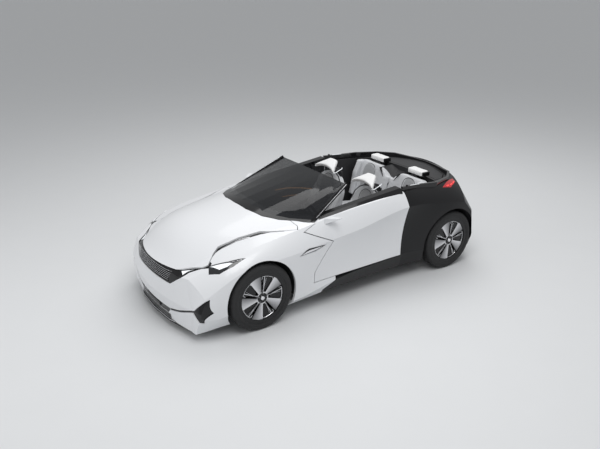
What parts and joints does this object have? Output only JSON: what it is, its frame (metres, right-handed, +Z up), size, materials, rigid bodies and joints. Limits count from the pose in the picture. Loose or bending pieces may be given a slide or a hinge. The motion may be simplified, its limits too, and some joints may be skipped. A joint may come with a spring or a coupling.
{
  "type": "open two-door concept car",
  "caption": "Open two-door concept sports car with a black wraparound windscreen, satin black rear body and turbine-blade wheels.",
  "frame": {"origin": "centre of the car's footprint on the ground", "axes": "+X towards the nose, +Z up"},
  "size_m": [3.8098, 1.7602, 1.1876],
  "materials": {
    "pearl_white": "satin",
    "satin_black": "satin",
    "gloss_black": "gloss",
    "screen_glass": "gloss",
    "blade_silver": "brushed",
    "tyre_rubber": "matte",
    "seat_fabric": "matte",
    "dark_trim": "matte",
    "tail_red": "gloss",
    "lamp_clear": "gloss",
    "chassis_steel": "satin",
    "headrest_white": "matte",
    "engine_alloy": "satin",
    "floor_paint": "matte"
  },
  "bodies": {
    "body": {"arch_liner_front_left": "dark_trim", "arch_liner_front_right": "dark_trim", "arch_liner_rear_left": "dark_trim", "arch_liner_rear_right": "dark_trim", "bonnet_vent_left": "gloss_black", "bonnet_vent_right": "gloss_black", "centre_console": "gloss_black", "chassis_tub": "floor_paint", "corner_intake_left": "gloss_black", "corner_intake_right": "gloss_black", "dashboard": "dark_trim", "deck_rim": "gloss_black", "engine_block": "engine_alloy", "front_clip": "pearl_white", "front_splitter": "satin_black", "front_subframe": "chassis_steel", "grille": "gloss_black", "headlamp_left": "lamp_clear", "headlamp_right": "lamp_clear", "headrest_left": "headrest_white", "headrest_right": "headrest_white", "lower_grille": "gloss_black", "rear_axle": "chassis_steel", "rear_bench": "seat_fabric", "rear_body": "satin_black", "rear_deck": "dark_trim", "rear_diffuser": "satin_black", "rear_headrest_left": "headrest_white", "rear_headrest_right": "headrest_white", "seat_left": "seat_fabric", "seat_right": "seat_fabric", "side_skirt_left": "satin_black", "side_skirt_right": "satin_black", "steering_column": "dark_trim", "tail_lamp_left": "tail_red", "tail_lamp_right": "tail_red", "windscreen_frame": "gloss_black", "windscreen_glass": "screen_glass"},
    "bonnet": {"bonnet": "pearl_white"},
    "boot_lid": {"boot_lid": "dark_trim"},
    "door_left": {"door_left": "pearl_white", "door_trim_left": "gloss_black", "camera_fin_left": "pearl_white"},
    "door_right": {"door_right": "pearl_white", "door_trim_right": "gloss_black", "camera_fin_right": "pearl_white"},
    "steering_wheel": {"steering_wheel": "dark_trim"},
    "knuckle_left": {"knuckle_left": "chassis_steel"},
    "knuckle_right": {"knuckle_right": "chassis_steel"},
    "wheel_front_left": {"rim_front_left": "blade_silver", "tyre_front_left": "tyre_rubber"},
    "wheel_front_right": {"rim_front_right": "blade_silver", "tyre_front_right": "tyre_rubber"},
    "wheel_rear_left": {"rim_rear_left": "blade_silver", "tyre_rear_left": "tyre_rubber"},
    "wheel_rear_right": {"rim_rear_right": "blade_silver", "tyre_rear_right": "tyre_rubber"}
  },
  "joints": [
    {"name": "bonnet_hinge", "type": "hinge", "parent": "body", "child": "bonnet", "pos_m": [1.89, 0, 0.62], "axis": [0, 1, 0], "range_deg": [0, 45]},
    {"name": "boot_hinge", "type": "hinge", "parent": "body", "child": "boot_lid", "pos_m": [-1.37, 0, 0.99], "axis": [0, 1, 0], "range_deg": [0, 55]},
    {"name": "door_left_hinge", "type": "hinge", "parent": "body", "child": "door_left", "pos_m": [0.64, 0.88, 0.5], "axis": [0, 0, 1], "range_deg": [-62, 0]},
    {"name": "door_right_hinge", "type": "hinge", "parent": "body", "child": "door_right", "pos_m": [0.64, -0.88, 0.5], "axis": [0, 0, 1], "range_deg": [0, 62]},
    {"name": "steer_left", "type": "hinge", "parent": "body", "child": "knuckle_left", "pos_m": [1.138, 0.74, 0.335], "axis": [0, 0, 1], "range_deg": [-30, 30]},
    {"name": "steer_right", "type": "hinge", "parent": "body", "child": "knuckle_right", "pos_m": [1.138, -0.74, 0.335], "axis": [0, 0, 1], "range_deg": [-30, 30]},
    {"name": "steering_wheel_turn", "type": "hinge", "parent": "body", "child": "steering_wheel", "pos_m": [0.225, 0.345, 0.8], "axis": [0.9063, 0, -0.4226], "range_deg": [-150, 150]},
    {"name": "wheel_front_left_spin", "type": "hinge", "parent": "knuckle_left", "child": "wheel_front_left", "pos_m": [1.138, 0.773, 0.335], "axis": [0, 1, 0], "continuous": true},
    {"name": "wheel_front_right_spin", "type": "hinge", "parent": "knuckle_right", "child": "wheel_front_right", "pos_m": [1.138, -0.773, 0.335], "axis": [0, 1, 0], "continuous": true},
    {"name": "wheel_rear_left_spin", "type": "hinge", "parent": "body", "child": "wheel_rear_left", "pos_m": [-1.32, 0.773, 0.335], "axis": [0, 1, 0], "continuous": true},
    {"name": "wheel_rear_right_spin", "type": "hinge", "parent": "body", "child": "wheel_rear_right", "pos_m": [-1.32, -0.773, 0.335], "axis": [0, 1, 0], "continuous": true}
  ],
  "couplings": [
    {"joint": "steer_right", "follows": "steer_left", "ratio": 1},
    {"joint": "steering_wheel_turn", "follows": "steer_left", "ratio": -5}
  ]
}
